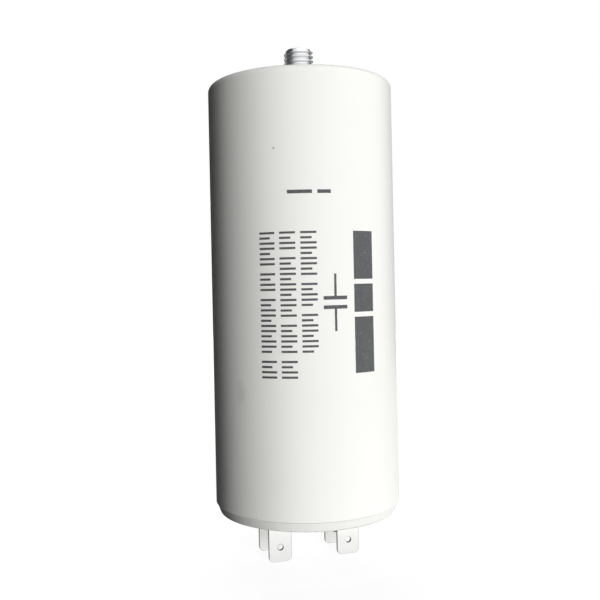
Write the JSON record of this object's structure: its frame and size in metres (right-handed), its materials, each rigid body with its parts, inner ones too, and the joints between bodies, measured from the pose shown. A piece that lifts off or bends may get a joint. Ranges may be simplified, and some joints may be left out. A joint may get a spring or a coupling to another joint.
{
  "type": "motor capacitor",
  "caption": "White plastic-cased cylindrical motor capacitor with a threaded mounting stud on its closed end and quick-connect blade terminals on its lid.",
  "frame": {"origin": "on the can's axis, on the outer face of the closed end, at the root of the mounting stud", "axes": "+Z along the stud, out of the closed end; +X along the line through the two terminals, towards the right one; +Y across the blades' faces, away from the front"},
  "size_m": [0.05, 0.05, 0.1379],
  "materials": {
    "white_plastic": "satin, as moulded",
    "plated_steel": "zinc plated",
    "tinned_brass": "bright tin plate",
    "tinned_copper": "tinned",
    "red_sleeve": "extruded",
    "black_sleeve": "extruded",
    "soft_solder": "cooled solder",
    "core_plastic": "extruded tube",
    "metallised_film": "wound film edge",
    "plain_film": "wound plain film",
    "sprayed_zinc": "matt metal spray",
    "cast_resin": "cast",
    "print_ink": "pad-printed ink on the can"
  },
  "bodies": {
    "root": {"can": "white_plastic", "mounting_stud": "plated_steel", "lid": "white_plastic", "terminal_left": "tinned_brass", "terminal_right": "tinned_brass", "rivet_left": "tinned_brass", "rivet_right": "tinned_brass", "solder_tag_left": "tinned_brass", "solder_tag_right": "tinned_brass", "lead_wire_left": "tinned_copper", "lead_wire_right": "tinned_copper", "lead_sleeve_left": "red_sleeve", "lead_sleeve_right": "black_sleeve", "solder_joint_upper": "soft_solder", "solder_joint_lower": "soft_solder", "winding_core": "core_plastic", "film_winding": "metallised_film", "outer_wrap": "plain_film", "sprayed_end_upper": "sprayed_zinc", "sprayed_end_lower": "sprayed_zinc", "potting_resin": "cast_resin"}
  },
  "joints": []
}
